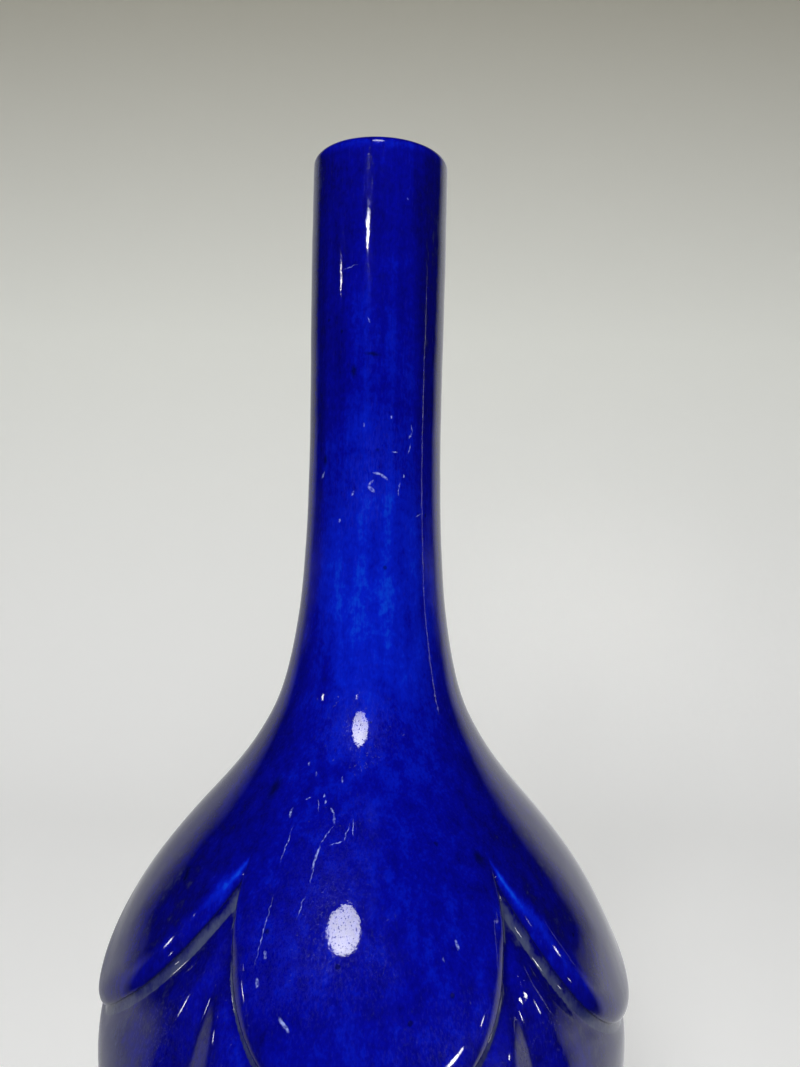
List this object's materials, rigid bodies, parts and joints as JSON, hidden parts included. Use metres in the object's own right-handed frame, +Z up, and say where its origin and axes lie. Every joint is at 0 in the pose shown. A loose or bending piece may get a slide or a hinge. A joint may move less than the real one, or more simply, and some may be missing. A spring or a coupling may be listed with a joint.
{
  "type": "long-neck bottle vase",
  "caption": "Round-bodied bottle vase with a long straight neck, a cape of pointed lotus petals over a lobed body, and a foot ring.",
  "frame": {"origin": "centre of the foot ring, on the surface that the vase stands on", "axes": "+Z up along the vase's axis; the pictured side faces -Y"},
  "size_m": [0.0999, 0.1001, 0.218],
  "materials": {
    "cobalt_glaze": "glossy cobalt blue glaze on porcelain",
    "bare_clay": "unglazed fired porcelain, matt"
  },
  "bodies": {
    "root": {"neck_tube": "cobalt_glaze", "shoulder": "cobalt_glaze", "petal_1": "cobalt_glaze", "petal_2": "cobalt_glaze", "petal_3": "cobalt_glaze", "petal_4": "cobalt_glaze", "petal_5": "cobalt_glaze", "body_upper": "cobalt_glaze", "body_lower": "cobalt_glaze", "foot_ring": "bare_clay"}
  },
  "joints": []
}
